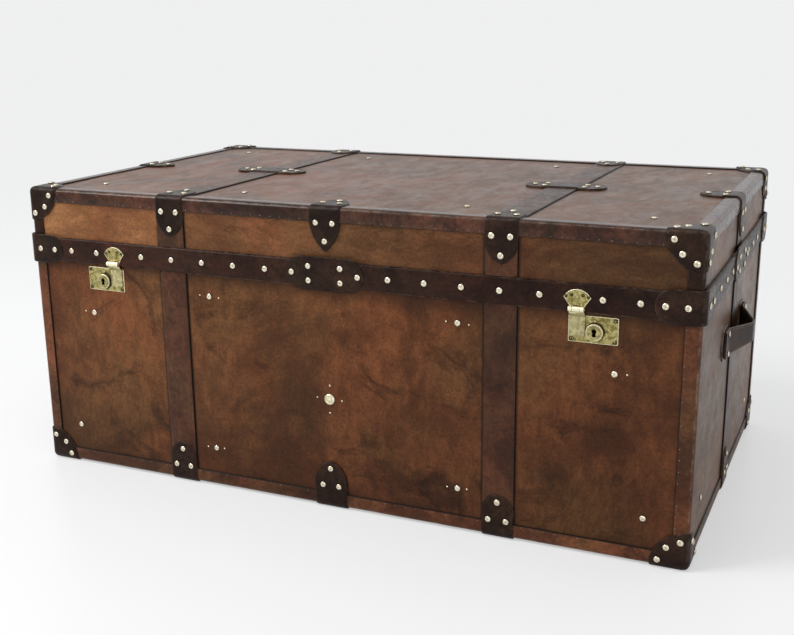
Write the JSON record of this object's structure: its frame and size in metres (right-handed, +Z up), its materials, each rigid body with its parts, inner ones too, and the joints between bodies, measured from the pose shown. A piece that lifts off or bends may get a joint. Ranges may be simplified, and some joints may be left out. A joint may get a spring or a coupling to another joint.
{
  "type": "leather trunk",
  "caption": "Flat-topped travelling trunk of leather over boards, with a hinged lid, bound and nailed edges, brass hasp locks, slotted lid stays and end handles.",
  "frame": {"origin": "middle of the trunk's footprint, on the floor", "axes": "+X along the front towards the right end, +Y towards the back, +Z up; the locks face -Y"},
  "size_m": [1.267, 0.7219, 0.5256],
  "materials": {
    "hide": "worn, low sheen",
    "strap_leather": "worn, low sheen",
    "dark_leather": "worn, satin",
    "aged_brass": "tarnished with bright edges",
    "nail_brass": "dull polish",
    "pine_board": "sawn, unfinished",
    "lining_cloth": "plain cotton, matte"
  },
  "bodies": {
    "base": {"base_front_board": "pine_board", "base_back_board": "pine_board", "base_end_boards": "pine_board", "base_floor_board": "pine_board", "base_lining": "lining_cloth", "base_valance": "lining_cloth", "base_front_leather": "hide", "base_back_leather": "hide", "base_end_leathers": "hide", "base_underside_cover": "hide", "base_bottom_bindings": "strap_leather", "base_corner_bindings": "strap_leather", "base_seam_straps": "strap_leather", "base_corner_caps": "dark_leather", "base_foot_patches": "dark_leather", "base_edge_nails": "nail_brass", "base_panel_nails": "nail_brass", "handle_right": "dark_leather", "handle_left": "dark_leather", "handle_chapes": "dark_leather", "handle_nails": "nail_brass", "hinge_base_leaves": "aged_brass", "stay_base_studs": "aged_brass", "lock_plates": "aged_brass", "lock_cases": "aged_brass"},
    "lid": {"lid_front_board": "pine_board", "lid_back_board": "pine_board", "lid_end_boards": "pine_board", "lid_top_board": "pine_board", "lid_lining": "lining_cloth", "lid_front_leather": "hide", "lid_back_leather": "hide", "lid_end_leathers": "hide", "lid_top_leather": "hide", "lid_top_bindings": "strap_leather", "lid_corner_bindings": "strap_leather", "lid_seam_straps": "strap_leather", "lid_corner_caps": "dark_leather", "lid_edge_shields": "dark_leather", "lid_bow_patches": "dark_leather", "lid_edge_nails": "nail_brass", "lid_panel_nails": "nail_brass", "lid_band": "dark_leather", "lid_band_laps": "dark_leather", "band_nails": "nail_brass", "hinge_lid_leaves": "aged_brass", "stay_lid_studs": "aged_brass", "hasp_plates": "aged_brass"},
    "stay_left": {"stay_arm_left": "aged_brass"},
    "stay_right": {"stay_arm_right": "aged_brass"},
    "hasp_left": {"hasp_flap_left": "aged_brass"},
    "hasp_right": {"hasp_flap_right": "aged_brass"},
    "plug_left": {"lock_plug_left": "aged_brass"},
    "plug_right": {"lock_plug_right": "aged_brass"}
  },
  "joints": [
    {"name": "lid_hinge", "type": "hinge", "parent": "base", "child": "lid", "pos_m": [0, 0.3518, 0.389], "axis": [-1, 0, 0], "range_deg": [0, 95]},
    {"name": "stay_left_pivot", "type": "hinge", "parent": "lid", "child": "stay_left", "pos_m": [-0.5735, 0.16146, 0.429], "axis": [-1, 0, 0], "range_deg": [-47.5, 0]},
    {"name": "stay_right_pivot", "type": "hinge", "parent": "lid", "child": "stay_right", "pos_m": [0.5735, 0.16146, 0.429], "axis": [-1, 0, 0], "range_deg": [-47.5, 0]},
    {"name": "hasp_left_hinge", "type": "hinge", "parent": "lid", "child": "hasp_left", "pos_m": [-0.4188, -0.3583, 0.3945], "axis": [-1, 0, 0], "range_deg": [0, 150]},
    {"name": "hasp_right_hinge", "type": "hinge", "parent": "lid", "child": "hasp_right", "pos_m": [0.4188, -0.3583, 0.3945], "axis": [-1, 0, 0], "range_deg": [0, 150]},
    {"name": "plug_left_turn", "type": "hinge", "parent": "base", "child": "plug_left", "pos_m": [-0.4458, -0.3555, 0.36], "axis": [0, 1, 0], "range_deg": [0, 90]},
    {"name": "plug_right_turn", "type": "hinge", "parent": "base", "child": "plug_right", "pos_m": [0.4458, -0.3555, 0.36], "axis": [0, 1, 0], "range_deg": [0, 90]}
  ],
  "couplings": [
    {"joint": "stay_left_pivot", "follows": "lid_hinge", "ratio": -0.5},
    {"joint": "stay_right_pivot", "follows": "lid_hinge", "ratio": -0.5}
  ]
}
